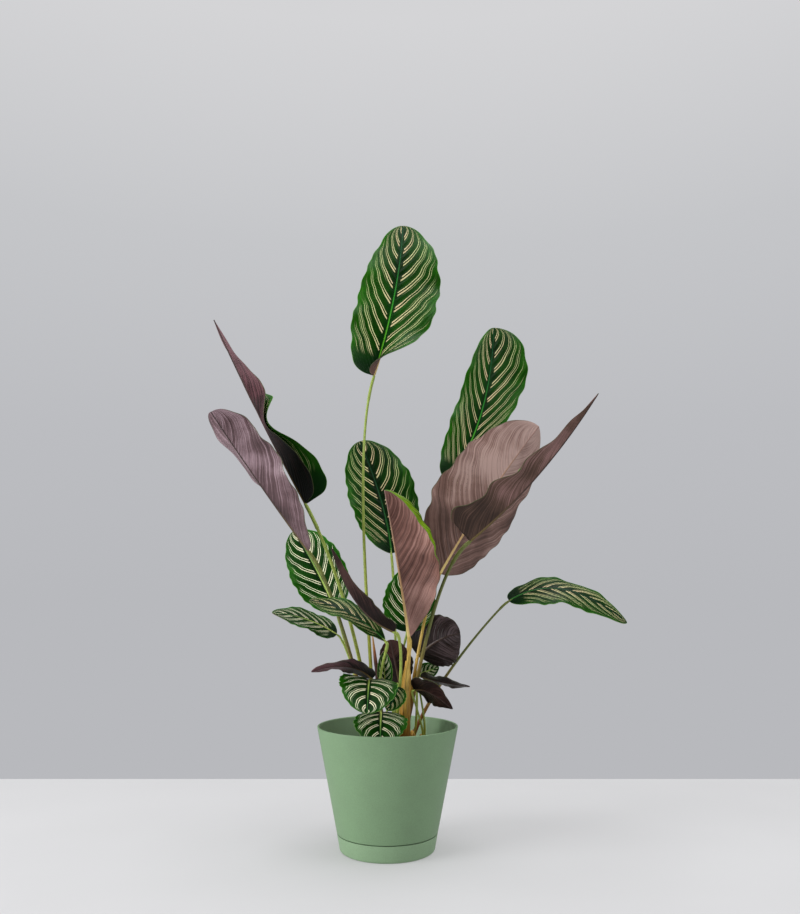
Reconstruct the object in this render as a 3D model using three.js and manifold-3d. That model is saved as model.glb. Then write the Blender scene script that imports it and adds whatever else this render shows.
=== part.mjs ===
// A potted calathea: a crown of pinstriped leaves on thin stalks, in a tapered pot whose
// saucer carries the same taper on down.
//
// Millimetres. +X is to the right, +Y is away from the viewer and +Z is up. The origin is
// the middle of the flat base.

import * as THREE from 'three';
import { mergeVertices } from 'three/addons/utils/BufferGeometryUtils.js';
import Module from 'manifold-3d';

// ---------------------------------------------------------------- driving dimensions

const RIM_RADIUS = 80;
const RIM_HEIGHT = 132;
const SEAM_RADIUS = 56.2;
const SEAM_HEIGHT = 18.5;
const BASE_CORNER = 3.5;
const CORNER_CUT = 0.3;
const WALL = 2.6;
const FLOOR = 2.6;
const GAP = 0.3;
const LIP = 0.8;
const DRAIN_RADIUS = 4;
const DRAIN_CIRCLE = 30;
const DRAIN_COUNT = 5;
const DRAIN_SIDES = 12;
const DRAIN_START = 0.25;
const LATHE_SIDES = 40;

const SOIL_EDGE = 110;
const SOIL_CROWN = 114;
const SLOPE_FOOT = 0.7;
const SLOPE_HEAD = 0.4;
const ROOT_DEPTH = 12;
const COLLAR_HEIGHT = 2;
const SHORT_NECK = 8;
const HOLE_CLEARANCE = 0.4;

const BLADE_THICKNESS = 0.8;
const BLADE_END = 0.9;
const CUP_REACH = 0.15;
const PINCH_PLACE = 0.38;
const PINCH_REACH = 0.17;
const ARC_STEPS = 12;
const LEFT_WAVE_LAG = 2;
const END_CROWDING = 0.11;
const BIG_HALF = 35;
const BIG_GRID = [14, 6];
const CURLED_GRID = [14, 12];
const PINCHED_GRID = [22, 8];
const SMALL_GRID = [8, 4];
const TUBE_SIDES = 6;
const LONG_STALK_STEPS = 13;
const SHORT_STALK_STEPS = 7;
const SHEATH_SIDES = 10;

const SPEAR_ROOT = [-6, 17];
const SPEAR_BEND = [-10, 13, 170];
const SPEAR_TIP = [-18.5, 8, 234];
const SPEAR_RADIUS = 2.6;
const SPEAR_WIDTHS = [1, 1, 1.15, 1.2, 1.15, 1.05, 0.85, 0.55, 0.2];
const LONG_LEAD = 0.45;
const SHORT_LEAD = 0.15;
const TALL_LEAF = 290;
const KNEE_LENGTH = 3;
const KNEE_GAP = 0.6;
const KNEE_SWELL = 1.25;

// ---------------------------------------------------------------- colours

const COLOURS = {
  pot: 0x84a07f,
  saucer: 0x7b9977,
  soil: 0x2b211b,
  leaf: 0x1e5a24,
  stalk: 0x8a9a44,
  spear: 0x9a5a34,
};

// ---------------------------------------------------------------- the leaves

// Each leaf: where its midrib starts, passes half way and ends, the width of its left and
// right half (as seen from above with the tip up) and where along the leaf each is widest,
// how bluntly it runs out to the tip, the way its upper face looks and its twist from
// base to tip. For the two halves again: the angle each is folded by at the midrib, the
// angle it rolls through on the way to the margin, the extra curl of the margin, which
// grows towards the tip, and the extra fold at the leaf's base, in degrees and towards the
// upper face. The margin waves by `wave` mm, `waves` times. The stalk passes `via` and has
// the radii `stalk` at its top and foot. One leaf has a pinch as well: the angle that each
// half is folded by on top of its fold, a little way above the base.
const LEAVES = [
  {
    name: 'top', shoot: 'left',
    base: [-18, 8, 545], mid: [7, 16, 654], tip: [18, 42, 760],
    width: [46, 56], peak: [0.4, 0.5], fall: 0.5, face: [-0.05, -1, 0.15], twist: 0,
    fold: [6, 4], roll: [-14, -20], curl: [0, 0], cup: [0, 130], wave: 3, waves: 3,
    via: [-28, 10, 319], stalk: [1.5, 2.7],
  },
  {
    name: 'upper_right', shoot: 'centre',
    base: [77, 76, 422], mid: [125, 106, 524], tip: [147, 138, 652],
    width: [36, 50], peak: [0.45, 0.75], fall: 0.5, face: [-0.1, -1, 0.25], twist: 0,
    fold: [8, 10], roll: [-15, -20], curl: [0, 0], cup: [10, 30], wave: 3, waves: 2.5,
    via: [33, 34, 275], stalk: [1.6, 2.4],
  },
  {
    name: 'right_broad', shoot: 'centre',
    base: [61, -12, 303], mid: [116, 12, 389], tip: [191, 50, 490],
    width: [62, 60], peak: [0.55, 0.5], fall: 0.5, face: [-0.3, 0.9, 0.3], twist: 0,
    fold: [16, 10], roll: [6, 10], curl: [0, 0], cup: [0, 0], wave: 3, waves: 3,
    via: [42, -12, 248], stalk: [1.5, 2.6],
  },
  {
    name: 'right_long', shoot: 'centre',
    base: [92.5, -58, 337], mid: [166, -83, 408], tip: [230, -104, 494],
    width: [35, 38], peak: [0.05, 0.05], fall: 1.05, face: [-0.75, 0.25, 0.62], twist: 0,
    fold: [60, 50], roll: [0, 0], curl: [0, 0], cup: [0, 0], wave: 4, waves: 4,
    via: [53, -28, 262], stalk: [1.8, 2.6],
  },
  {
    name: 'front', shoot: 'centre',
    base: [24, -36, 231], mid: [11, -56, 314], tip: [-3, -72, 392],
    width: [57, 50], peak: [0.6, 0.5], fall: 0.62, face: [0.1, 1, 0.1], twist: 0,
    fold: [8, 86], roll: [0, 0], curl: [-225, 0], cup: [0, 0], wave: 1, waves: 2,
    via: [23, -30, 197], stalk: [2.2, 3.2],
  },
  {
    name: 'centre_back', shoot: 'back',
    base: [3, 70, 330], mid: [-11, 94, 401], tip: [-41, 124, 485],
    width: [40, 48], peak: [0.55, 0.55], fall: 0.5, face: [0.05, -1, 0.25], twist: 0,
    fold: [8, 8], roll: [-15, -15], curl: [0, 0], cup: [10, 10], wave: 2.5, waves: 2,
    via: [7, 50, 272], stalk: [1.4, 2.2],
  },
  {
    name: 'upper_left', shoot: 'left',
    base: [-98, -10, 384], mid: [-163, 4, 503], tip: [-225, 32, 626],
    width: [32, 36], peak: [0.15, 0.13], fall: 1, face: [0.75, -0.55, 0.38], twist: 115,
    fold: [130, 0], roll: [0, 0], curl: [0, 0], cup: [0, 0], wave: 3, waves: 3,
    pinch: [-75, 120],
    via: [-53, 0, 276], stalk: [1.8, 2.8],
  },
  {
    name: 'mid_left', shoot: 'left',
    base: [-92, -24, 328], mid: [-146, -50, 403], tip: [-196, -84, 478],
    width: [38, 34], peak: [0.55, 0.65], fall: 0.45, face: [0.5, 0.6, 0.5], twist: 45,
    fold: [20, 35], roll: [0, 0], curl: [0, 0], cup: [0, 0], wave: 2.5, waves: 3.3,
    via: [-60, -10, 262], stalk: [1.8, 2.8],
  },
  {
    name: 'low_left_broad', shoot: 'left',
    base: [-62, 18, 258], mid: [-87, 32, 307], tip: [-119, 54, 357],
    width: [32, 34], peak: [0.5, 0.5], fall: 0.55, face: [-0.1, -1, 0.3], twist: 0,
    fold: [10, 10], roll: [-15, -10], curl: [0, 0], cup: [10, 10], wave: 2, waves: 2,
    via: [-51, 16, 223], stalk: [1.2, 1.8],
  },
  {
    name: 'low_left_flat', shoot: 'front_left',
    base: [-3, -44, 228], mid: [-42, -42, 257], tip: [-88, -35, 272],
    width: [22, 22], peak: [0.55, 0.55], fall: 0.6, face: [0.1, -0.38, 0.9], twist: 0,
    fold: [10, 10], roll: [-10, -10], curl: [0, 0], cup: [0, 0], wave: 2, waves: 2,
    via: [-7, -30, 194], stalk: [1.4, 2],
  },
  {
    name: 'small_left', shoot: 'left',
    base: [-60, 0, 233], mid: [-94, -10, 250], tip: [-131, -26, 258],
    width: [20, 20], peak: [0.4, 0.4], fall: 0.65, face: [0.15, -0.5, 0.8], twist: 0,
    fold: [8, 8], roll: [-15, -15], curl: [0, 0], cup: [0, 0], wave: 1.5, waves: 2,
    via: [-44, 4, 203], stalk: [1, 1.6],
  },
  {
    name: 'dark_left', shoot: 'front_mid',
    base: [7, -62, 238], mid: [-32, -80, 269], tip: [-59, -98, 327],
    width: [16, 15], peak: [0.3, 0.35], fall: 0.8, face: [0.5, 0.5, 0.6], twist: 0,
    fold: [25, 50], roll: [0, 0], curl: [0, 0], cup: [0, 0], wave: 1.5, waves: 2,
    via: [15, -40, 207], stalk: [1.5, 2.2],
  },
  {
    name: 'small_back', shoot: 'back',
    base: [22, 4, 236], mid: [25, 5, 272], tip: [30, 9, 313],
    width: [30, 30], peak: [0.45, 0.45], fall: 0.6, face: [0, -1, 0.3], twist: 0,
    fold: [8, 8], roll: [-12, -12], curl: [0, 0], cup: [0, 0], wave: 1.5, waves: 2,
    via: [16, 14, 205], stalk: [1.2, 1.8],
  },
  {
    name: 'round_right', shoot: 'right_back',
    base: [36, 10, 208], mid: [59, 2, 226], tip: [83, -10, 234],
    width: [34, 30], peak: [0.4, 0.4], fall: 0.55, face: [-0.3, 0.95, -0.1], twist: 0,
    fold: [8, 8], roll: [10, 10], curl: [0, 0], cup: [0, 0], wave: 1.5, waves: 2,
    via: [33, 8, 175], stalk: [1, 1.6],
  },
  {
    name: 'thin_right', shoot: 'right',
    base: [38, -8, 186], mid: [61, -16, 181], tip: [92, -26, 177],
    width: [16, 15], peak: [0.35, 0.35], fall: 0.8, face: [0.1, 0.45, 0.9], twist: 0,
    fold: [8, 8], roll: [-10, -10], curl: [0, 0], cup: [0, 0], wave: 1.5, waves: 2,
    via: [39, -9, 155], stalk: [1, 1.6],
  },
  {
    name: 'low_right', shoot: 'right',
    base: [31, -16, 172], mid: [48, -25, 170], tip: [72, -34, 154],
    width: [23, 21], peak: [0.35, 0.35], fall: 0.9, face: [0.1, 0.65, 0.7], twist: 0,
    fold: [8, 8], roll: [-10, -10], curl: [0, 0], cup: [0, 0], wave: 1.5, waves: 2,
    via: [35, -13, 145], stalk: [1, 1.6],
  },
  {
    name: 'dark_low_left', shoot: 'low_left',
    base: [-18, -26, 186], mid: [-46, -38, 200], tip: [-83, -48, 195],
    width: [20, 20], peak: [0.4, 0.4], fall: 0.7, face: [0.1, 0.4, 0.9], twist: 0,
    fold: [8, 8], roll: [-10, -10], curl: [0, 0], cup: [0, 0], wave: 1.5, waves: 2,
    via: [-17, -19, 160], stalk: [1, 1.6],
  },
  {
    name: 'front_round', shoot: 'low_left',
    base: [-20, -36, 185], mid: [-20, -64, 178], tip: [-20, -92, 157],
    width: [31, 32], peak: [0.42, 0.38], fall: 0.45, face: [0, -0.6, 0.8], twist: 0,
    fold: [14, 26], roll: [-24, -24], curl: [0, 0], cup: [0, 0], wave: 1.5, waves: 2,
    via: [-17, -26, 160], stalk: [1, 1.6],
  },
  {
    name: 'front_low', shoot: 'low_front',
    base: [-7, -30, 150], mid: [-7, -48, 142], tip: [-7, -62, 122],
    width: [29, 29], peak: [0.45, 0.45], fall: 0.5, face: [0, -0.6, 0.8], twist: 0,
    fold: [10, 10], roll: [-24, -24], curl: [0, 0], cup: [0, 0], wave: 1, waves: 2,
    via: [-6, -24, 137], stalk: [1, 1.6],
  },
  {
    name: 'shade', shoot: 'low_front',
    base: [11, -37, 178], mid: [8, -42, 168], tip: [0, -45, 154],
    width: [12, 12], peak: [0.45, 0.45], fall: 0.6, face: [0.2, -0.8, 0.4], twist: 0,
    fold: [10, 10], roll: [-10, -10], curl: [0, 0], cup: [0, 0], wave: 1, waves: 2,
    via: [6, -26, 150], stalk: [1, 1.4],
  },
  {
    name: 'dark_centre', shoot: 'mid',
    base: [14, 4, 177], mid: [8, 1, 203], tip: [3, -5, 227],
    width: [20, 19], peak: [0.45, 0.45], fall: 0.6, face: [0.2, 0.9, 0.3], twist: 0,
    fold: [8, 8], roll: [0, 0], curl: [0, 0], cup: [0, 0], wave: 1, waves: 2,
    via: [9, 6, 150], stalk: [1, 1.6],
  },
  {
    name: 'narrow', shoot: 'mid',
    base: [-3, -8, 179], mid: [-4, -12, 197], tip: [-4, -14, 215],
    width: [11, 11], peak: [0.4, 0.4], fall: 0.7, face: [0.1, -1, 0.2], twist: 0,
    fold: [40, 40], roll: [0, 0], curl: [0, 0], cup: [0, 0], wave: 0.5, waves: 2,
    via: [-1, -2, 150], stalk: [1, 1.4],
  },
  {
    name: 'arching', shoot: 'arching',
    base: [142, 2, 271], mid: [206, -2, 284], tip: [275, -10, 246],
    width: [24, 30], peak: [0.4, 0.45], fall: 0.6, face: [0, -0.5, 0.87], twist: 0,
    fold: [8, 8], roll: [-15, -25], curl: [0, 0], cup: [0, 0], wave: 2, waves: 2.5,
    via: [88, 16, 211], stalk: [1.2, 2.8],
  },
  {
    name: 'pale', shoot: 'right_back',
    base: [37, 20, 186], mid: [48, 22, 190], tip: [60, 23, 194],
    width: [10, 10], peak: [0.4, 0.4], fall: 0.7, face: [0, -0.9, 0.5], twist: 0,
    fold: [8, 8], roll: [-10, -10], curl: [0, 0], cup: [0, 0], wave: 1, waves: 2,
    via: [34, 16, 168], stalk: [1, 1.4],
  },
];

// Each shoot: where it stands in the soil, the radii of the sheath of leaf bases at its
// foot and neck, and the neck's place where the shoot has one above the soil.
const SHOOTS = [
  { name: 'left', root: [-16, 6], neck: [-20, 5, 150], sheath: [8, 5] },
  { name: 'centre', root: [18, -4], neck: [22, -11, 190], sheath: [6.5, 6] },
  { name: 'back', root: [10, 22], sheath: [4, 3] },
  { name: 'front_left', root: [-4, -14], sheath: [3, 2.2] },
  { name: 'front_mid', root: [7, -14], sheath: [3, 2.4] },
  { name: 'right', root: [38, -8], sheath: [4, 2.5] },
  { name: 'right_back', root: [30, 8], sheath: [3.5, 2.5] },
  { name: 'low_left', root: [-18, -10], sheath: [4, 2.5] },
  { name: 'low_front', root: [-8, -24], sheath: [3, 2.4] },
  { name: 'mid', root: [2, 6], sheath: [4, 2.5] },
  { name: 'arching', root: [28, 20], sheath: [3.2, 2.4] },
];

// ---------------------------------------------------------------- vectors and arcs

const vector = (xyz) => new THREE.Vector3(...xyz);
const mix = (a, b, t) => a.clone().lerp(b, t);
const mixNumber = (a, b, t) => a + (b - a) * t;

// The middle line: a parabola through the base, the half-way point and the tip.
function midribAt(leaf, u) {
  const base = vector(leaf.base);
  const tip = vector(leaf.tip);
  const pull = vector(leaf.mid).multiplyScalar(2).sub(mix(base, tip, 0.5));
  return mix(mix(base, pull, u), mix(pull, tip, u), u);
}

function midribTangent(leaf, u) {
  const base = vector(leaf.base);
  const tip = vector(leaf.tip);
  const pull = vector(leaf.mid).multiplyScalar(2).sub(mix(base, tip, 0.5));
  return mix(pull.clone().sub(base), tip.clone().sub(pull), u).normalize();
}

// The outline of one half: nothing at the base, full at its peak, run out to the tip.
function halfWidthAt(leaf, side, u) {
  const peak = leaf.peak[side];
  const rise = (leaf.fall * peak) / (1 - peak);
  const shape = (t) => t ** rise * (1 - t) ** leaf.fall;
  return BLADE_END + leaf.width[side] * (shape(u) / shape(peak));
}

// The cross-section of one half: an arc whose angle grows from the fold at the midrib
// by the roll, and near the margin by the curl. Gives its reach out and up, as fractions
// of the half's width.
function sectionArc(fold, roll, curl, v) {
  let out = 0;
  let up = 0;
  for (let step = 0; step < ARC_STEPS; step += 1) {
    const s = (v * (step + 0.5)) / ARC_STEPS;
    const angle = THREE.MathUtils.degToRad(fold + roll * s + curl * s ** 3);
    out += (Math.cos(angle) * v) / ARC_STEPS;
    up += (Math.sin(angle) * v) / ARC_STEPS;
  }
  return { out, up };
}

function bladePoint(leaf, u, v) {
  const tangent = midribTangent(leaf, u);
  const face = vector(leaf.face);
  const up = face.addScaledVector(tangent, -face.dot(tangent)).normalize();
  up.applyAxisAngle(tangent, THREE.MathUtils.degToRad(leaf.twist * (u - 0.5)));
  const right = tangent.clone().cross(up);
  const side = v < 0 ? 0 : 1;
  const cupped = leaf.fold[side] + leaf.cup[side] * Math.exp(-u / CUP_REACH);
  const pinched = leaf.pinch
    ? leaf.pinch[side] * Math.exp(-(((u - PINCH_PLACE) / PINCH_REACH) ** 2))
    : 0;
  const arc = sectionArc(cupped + pinched, leaf.roll[side], leaf.curl[side] * u, Math.abs(v));
  const half = halfWidthAt(leaf, side, u);
  const wave = ((leaf.wave * half) / leaf.width[side]) * v * v
    * Math.sin(2 * Math.PI * leaf.waves * u + (side ? 0 : LEFT_WAVE_LAG));
  return midribAt(leaf, u)
    .addScaledVector(right, Math.sign(v) * half * arc.out)
    .addScaledVector(up, half * arc.up + wave);
}

// ---------------------------------------------------------------- closed solids

function closedGeometry(positions, indices) {
  const geometry = new THREE.BufferGeometry();
  geometry.setAttribute('position', new THREE.Float32BufferAttribute(positions, 3));
  geometry.setIndex(indices);
  geometry.computeVertexNormals();
  return geometry;
}

// Steps along a leaf lie closer together towards the base and the tip.
const crowdedEnds = (t) => t - END_CROWDING * Math.sin(2 * Math.PI * t);

// A blade: the leaf's middle surface set off to both sides by half the thickness, split
// into triangles alike on both faces, and closed by a rim.
function bladeGeometry(leaf, steps, strips) {
  const rows = steps + 1;
  const columns = strips + 1;
  const middle = [];
  for (let i = 0; i < rows; i += 1) {
    for (let j = 0; j < columns; j += 1) {
      middle.push(bladePoint(leaf, crowdedEnds(i / steps), (2 * j) / strips - 1));
    }
  }
  const at = (i, j) => middle[i * columns + j];
  const positions = [];
  for (const side of [1, -1]) {
    for (let i = 0; i < rows; i += 1) {
      for (let j = 0; j < columns; j += 1) {
        const along = at(Math.min(i + 1, steps), j).clone().sub(at(Math.max(i - 1, 0), j));
        const across = at(i, Math.min(j + 1, strips)).clone().sub(at(i, Math.max(j - 1, 0)));
        const normal = across.cross(along).normalize();
        const point = at(i, j).clone().addScaledVector(normal, (side * BLADE_THICKNESS) / 2);
        positions.push(point.x, point.y, point.z);
      }
    }
  }
  const under = rows * columns;
  const top = (i, j) => i * columns + j;
  const indices = [];
  const quad = (a, b, c, d) => indices.push(a, b, c, a, c, d);
  for (let i = 0; i < steps; i += 1) {
    for (let j = 0; j < strips; j += 1) {
      const [a, b, c, d] = [top(i, j), top(i, j + 1), top(i + 1, j + 1), top(i + 1, j)];
      quad(a, b, c, d);
      indices.push(a + under, c + under, b + under, a + under, d + under, c + under);
    }
  }
  for (let i = 0; i < steps; i += 1) {
    quad(top(i, 0), top(i + 1, 0), top(i + 1, 0) + under, top(i, 0) + under);
    quad(top(i + 1, strips), top(i, strips), top(i, strips) + under, top(i + 1, strips) + under);
  }
  for (let j = 0; j < strips; j += 1) {
    quad(top(0, j + 1), top(0, j), top(0, j) + under, top(0, j + 1) + under);
    quad(top(steps, j), top(steps, j + 1), top(steps, j + 1) + under, top(steps, j) + under);
  }
  return closedGeometry(positions, indices);
}

// A tube of round rings along a row of points, with a radius at each, closed by flat ends.
function tubeGeometry(points, radii, sides) {
  const last = points.length - 1;
  const positions = [];
  const indices = [];
  let across = new THREE.Vector3(1, 0, 0);
  for (let i = 0; i <= last; i += 1) {
    const ahead = points[Math.min(i + 1, last)].clone().sub(points[Math.max(i - 1, 0)]).normalize();
    across = across.addScaledVector(ahead, -across.dot(ahead)).normalize();
    const other = ahead.clone().cross(across);
    for (let k = 0; k < sides; k += 1) {
      const turn = (2 * Math.PI * k) / sides;
      const point = points[i].clone()
        .addScaledVector(across, radii[i] * Math.cos(turn))
        .addScaledVector(other, radii[i] * Math.sin(turn));
      positions.push(point.x, point.y, point.z);
    }
  }
  const ring = (i, k) => i * sides + (k % sides);
  for (let i = 0; i < last; i += 1) {
    for (let k = 0; k < sides; k += 1) {
      indices.push(ring(i, k), ring(i, k + 1), ring(i + 1, k + 1));
      indices.push(ring(i, k), ring(i + 1, k + 1), ring(i + 1, k));
    }
  }
  for (let k = 1; k < sides - 1; k += 1) {
    indices.push(ring(0, 0), ring(0, k + 1), ring(0, k));
    indices.push(ring(last, 0), ring(last, k), ring(last, k + 1));
  }
  return closedGeometry(positions, indices);
}

// ---------------------------------------------------------------- joining and cutting

const wasm = await Module();
wasm.setup();

function toSolid(geometry) {
  const bare = geometry.clone();
  bare.deleteAttribute('normal');
  bare.deleteAttribute('uv');
  const merged = mergeVertices(bare, 1e-4);
  return new wasm.Manifold(new wasm.Mesh({
    numProp: 3,
    vertProperties: new Float32Array(merged.attributes.position.array),
    triVerts: new Uint32Array(merged.index.array),
  }));
}

function toGeometry(solid) {
  const mesh = solid.getMesh();
  return closedGeometry(Array.from(mesh.vertProperties), Array.from(mesh.triVerts));
}

// ---------------------------------------------------------------- stalks

// A stalk leaves its root upwards, passes `via` half way and runs into the leaf's base
// along the midrib. It is a cubic whose second handle lies back along the midrib.
function stalkPath(leaf, root, steps) {
  const base = vector(leaf.base);
  const tangent = midribTangent(leaf, 0);
  const end = base.clone().addScaledVector(tangent, -KNEE_GAP);
  const bend = end.clone().addScaledVector(tangent, -KNEE_LENGTH);
  const lead = leaf.base[2] > TALL_LEAF ? LONG_LEAD : SHORT_LEAD;
  const reach = bend.distanceTo(vector(leaf.via)) * lead;
  const second = bend.clone().addScaledVector(tangent, -reach);
  const first = vector(leaf.via).multiplyScalar(8).sub(root).sub(bend)
    .addScaledVector(second, -3).divideScalar(3);
  const path = new THREE.CubicBezierCurve3(root, first, second, bend).getPoints(steps);
  return [...path, end];
}

// The radius falls from the foot to the top, and swells a little just under the leaf.
function stalkRadii(leaf, steps) {
  const [top, footing] = leaf.stalk;
  const radii = [];
  for (let i = 0; i < steps; i += 1) {
    radii.push(mixNumber(footing, top, 1 - (1 - i / steps) ** 2));
  }
  return [...radii, top * KNEE_SWELL, top * KNEE_SWELL];
}

const rootOf = (shoot) => new THREE.Vector3(shoot.root[0], shoot.root[1], SOIL_CROWN);

// The foot of a shoot: a sheath of leaf bases, straight down in the soil.
function sheathGeometry(shoot) {
  const [footRadius, neckRadius] = shoot.sheath;
  const root = rootOf(shoot);
  const bottom = root.clone().setZ(SOIL_CROWN - ROOT_DEPTH);
  const collar = root.clone().setZ(SOIL_CROWN + COLLAR_HEIGHT);
  const neck = shoot.neck ? vector(shoot.neck) : root.clone().setZ(SOIL_CROWN + SHORT_NECK);
  const middle = mix(collar, neck, 0.5);
  const radii = [footRadius, footRadius, mixNumber(footRadius, neckRadius, 0.5), neckRadius];
  return tubeGeometry([bottom, collar, middle, neck], radii, SHEATH_SIDES);
}

function shootGeometry(shoot, leaves) {
  let solid = toSolid(sheathGeometry(shoot));
  for (const leaf of leaves) {
    const steps = leaf.base[2] > TALL_LEAF ? LONG_STALK_STEPS : SHORT_STALK_STEPS;
    const path = stalkPath(leaf, rootOf(shoot), steps);
    solid = solid.add(toSolid(tubeGeometry(path, stalkRadii(leaf, steps), TUBE_SIDES)));
  }
  return toGeometry(solid);
}

// The youngest leaf, still rolled up: a slim spindle that stands in the soil by itself.
function spearGeometry() {
  const root = vector([...SPEAR_ROOT, SOIL_CROWN]);
  const bottom = root.clone().setZ(SOIL_CROWN - ROOT_DEPTH);
  const collar = root.clone().setZ(SOIL_CROWN + COLLAR_HEIGHT);
  const path = new THREE.QuadraticBezierCurve3(collar, vector(SPEAR_BEND), vector(SPEAR_TIP));
  const points = [bottom, ...path.getPoints(SPEAR_WIDTHS.length - 2)];
  return tubeGeometry(points, SPEAR_WIDTHS.map((w) => w * SPEAR_RADIUS), SHEATH_SIDES);
}

// ---------------------------------------------------------------- pot, saucer and soil

const slope = (RIM_RADIUS - SEAM_RADIUS) / (RIM_HEIGHT - SEAM_HEIGHT);
const outerAt = (z) => SEAM_RADIUS + slope * (z - SEAM_HEIGHT);

function latheGeometry(profile, sides) {
  const points = profile.map(([r, z]) => new THREE.Vector2(r, z));
  const geometry = new THREE.LatheGeometry(points, sides);
  geometry.rotateX(Math.PI / 2);
  return geometry;
}

// The saucer: a shallow cup whose wall is the lowest stretch of the pot's taper.
function saucerGeometry() {
  const corner = outerAt(BASE_CORNER);
  const profile = [
    [0, 0],
    [corner - BASE_CORNER, 0],
    [corner - BASE_CORNER * CORNER_CUT, BASE_CORNER * CORNER_CUT],
    [corner, BASE_CORNER],
    [outerAt(SEAM_HEIGHT), SEAM_HEIGHT],
    [outerAt(SEAM_HEIGHT) - WALL, SEAM_HEIGHT],
    [outerAt(FLOOR + BASE_CORNER) - WALL, FLOOR + BASE_CORNER],
    [outerAt(FLOOR) - WALL - BASE_CORNER, FLOOR],
    [0, FLOOR],
  ];
  return latheGeometry(profile, LATHE_SIDES);
}

// The pot steps in at the seam by the saucer's wall and stands on the saucer's floor.
const seam = SEAM_HEIGHT + GAP;
const foot = FLOOR + GAP;
const stepRadius = (z) => outerAt(z) - WALL - GAP;
const footRadius = outerAt(FLOOR) - WALL - BASE_CORNER - GAP;

// The inside radius of the pot: a straight taper above the seam, a steeper one below it.
function innerAt(z) {
  const shelf = stepRadius(SEAM_HEIGHT) - WALL;
  const shelfHeight = seam + WALL;
  if (z > shelfHeight) {
    const share = (z - shelfHeight) / (RIM_HEIGHT - LIP - shelfHeight);
    return mixNumber(shelf, RIM_RADIUS - WALL, share);
  }
  return mixNumber(footRadius - WALL, shelf, (z - foot - FLOOR) / (shelfHeight - foot - FLOOR));
}

function potGeometry() {
  const profile = [
    [0, foot],
    [footRadius, foot],
    [stepRadius(foot + BASE_CORNER) - GAP, foot + BASE_CORNER],
    [stepRadius(SEAM_HEIGHT), seam],
    [outerAt(seam), seam],
    [RIM_RADIUS, RIM_HEIGHT - LIP],
    [RIM_RADIUS - LIP, RIM_HEIGHT],
    [RIM_RADIUS - WALL + LIP, RIM_HEIGHT],
    [RIM_RADIUS - WALL, RIM_HEIGHT - LIP],
    [innerAt(seam + WALL), seam + WALL],
    [innerAt(foot + FLOOR), foot + FLOOR],
    [0, foot + FLOOR],
  ];
  let solid = toSolid(latheGeometry(profile, LATHE_SIDES));
  for (let k = 0; k < DRAIN_COUNT; k += 1) {
    const turn = (2 * Math.PI * (k + DRAIN_START)) / DRAIN_COUNT;
    const drain = new THREE.CylinderGeometry(DRAIN_RADIUS, DRAIN_RADIUS, 4 * FLOOR, DRAIN_SIDES);
    drain.rotateX(Math.PI / 2);
    drain.translate(DRAIN_CIRCLE * Math.cos(turn), DRAIN_CIRCLE * Math.sin(turn), foot);
    solid = solid.subtract(toSolid(drain));
  }
  return toGeometry(solid);
}

// The soil fills the pot to a low mound, and has a plain hole for each shoot.
function soilGeometry(shoots) {
  const bottom = foot + FLOOR + GAP;
  const shelf = seam + WALL + GAP;
  const wide = innerAt(SOIL_EDGE) - GAP;
  const profile = [
    [0, bottom],
    [innerAt(bottom) - 2 * GAP, bottom],
    [innerAt(shelf) - 1.5 * GAP, shelf],
    [wide, SOIL_EDGE],
    [wide * SLOPE_FOOT, mixNumber(SOIL_EDGE, SOIL_CROWN, 0.5)],
    [wide * SLOPE_HEAD, SOIL_CROWN - GAP],
    [0, SOIL_CROWN],
  ];
  let solid = toSolid(latheGeometry(profile, LATHE_SIDES));
  const holes = shoots.map((shoot) => [...shoot.root, shoot.sheath[0]]);
  holes.push([...SPEAR_ROOT, SPEAR_RADIUS]);
  for (const [x, y, rootRadius] of holes) {
    const radius = (rootRadius + HOLE_CLEARANCE) / Math.cos(Math.PI / SHEATH_SIDES);
    const depth = ROOT_DEPTH + HOLE_CLEARANCE;
    const hole = new THREE.CylinderGeometry(radius, radius, 2 * depth, SHEATH_SIDES);
    hole.rotateX(Math.PI / 2);
    hole.translate(x, y, SOIL_CROWN);
    solid = solid.subtract(toSolid(hole));
  }
  return toGeometry(solid);
}

// ---------------------------------------------------------------- the object

const group = new THREE.Group();

function addMesh(name, geometry, colour, roughness) {
  const material = new THREE.MeshStandardMaterial({ color: colour, roughness, metalness: 0 });
  const mesh = new THREE.Mesh(geometry, material);
  mesh.name = name;
  group.add(mesh);
}

addMesh('saucer', saucerGeometry(), COLOURS.saucer, 0.5);
addMesh('pot', potGeometry(), COLOURS.pot, 0.5);
addMesh('soil', soilGeometry(SHOOTS), COLOURS.soil, 0.95);

for (const shoot of SHOOTS) {
  const leaves = LEAVES.filter((leaf) => leaf.shoot === shoot.name);
  addMesh(`stalks_${shoot.name}`, shootGeometry(shoot, leaves), COLOURS.stalk, 0.5);
}

addMesh('leaf_spear', spearGeometry(), COLOURS.spear, 0.5);

for (const leaf of LEAVES) {
  const big = Math.max(...leaf.width) > BIG_HALF;
  const plain = big ? BIG_GRID : SMALL_GRID;
  const bent = leaf.pinch ? PINCHED_GRID : plain;
  const [steps, strips] = leaf.curl[0] ? CURLED_GRID : bent;
  addMesh(`blade_${leaf.name}`, bladeGeometry(leaf, steps, strips), COLOURS.leaf, 0.4);
}

export default group;
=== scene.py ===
# A potted pinstripe calathea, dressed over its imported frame.
#
# Lengths in the tables are millimetres, as in the frame's own source, and are turned to
# metres when a mesh is made. +X is to the right, +Y is away from the viewer, +Z is up.
# The origin is the middle of the saucer's flat base.

from functools import partial

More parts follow.
